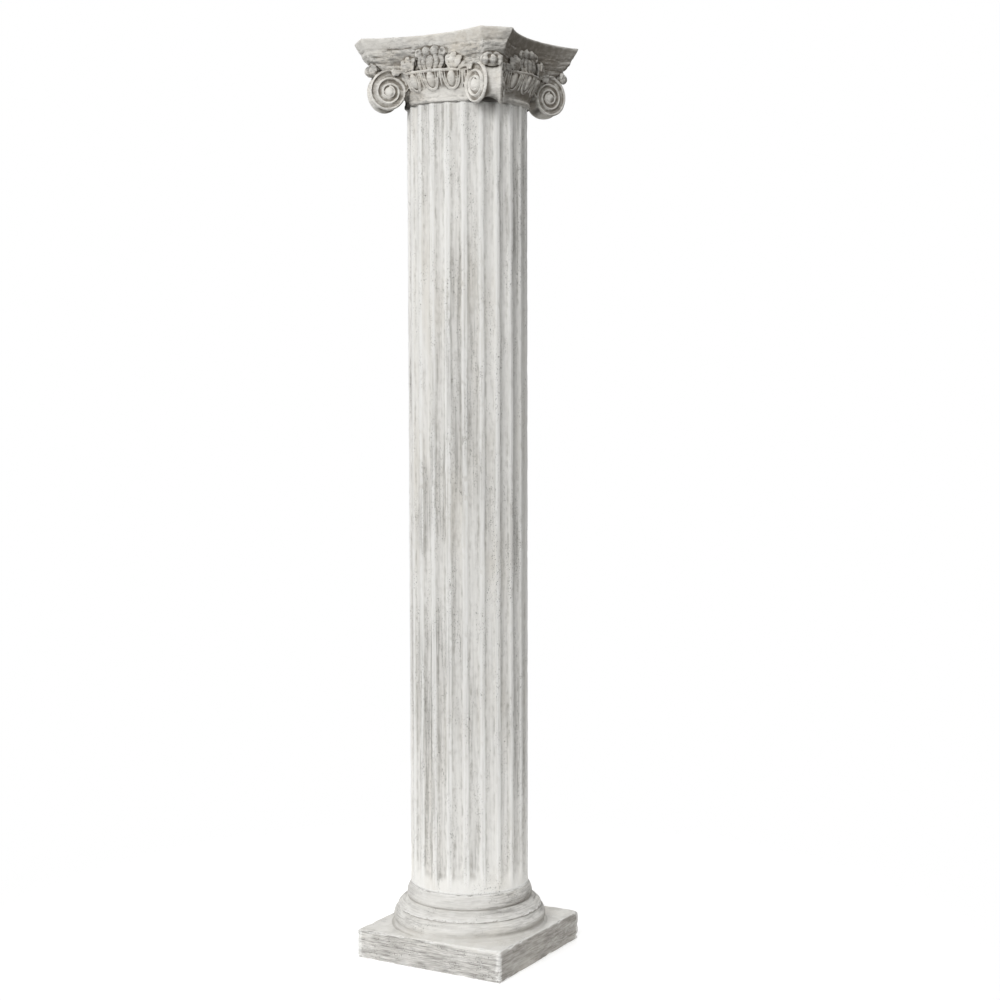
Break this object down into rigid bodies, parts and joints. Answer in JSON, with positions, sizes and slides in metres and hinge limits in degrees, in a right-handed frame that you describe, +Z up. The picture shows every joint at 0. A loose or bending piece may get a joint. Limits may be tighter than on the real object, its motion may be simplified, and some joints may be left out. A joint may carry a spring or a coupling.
{
  "type": "ionic column",
  "caption": "Free-standing fluted Ionic column with a square plinth, corner volutes, egg-and-dart carving and a concave-sided abacus, in worn whitewashed plaster.",
  "frame": {"origin": "centre of the plinth's underside", "axes": "+Z up along the shaft; -Y and +X are two equal sides of the plinth"},
  "size_m": [0.4798, 0.4798, 2.44],
  "materials": {
    "base_whitewash": "matt worn whitewash with grey wear along the faces",
    "shaft_whitewash": "matt dry-brushed whitewash with fine dark specks",
    "capital_whitewash": "matt whitewash with dirt in the carving"
  },
  "bodies": {
    "root": {"base": "base_whitewash", "shaft": "shaft_whitewash", "capital": "capital_whitewash"}
  },
  "joints": []
}
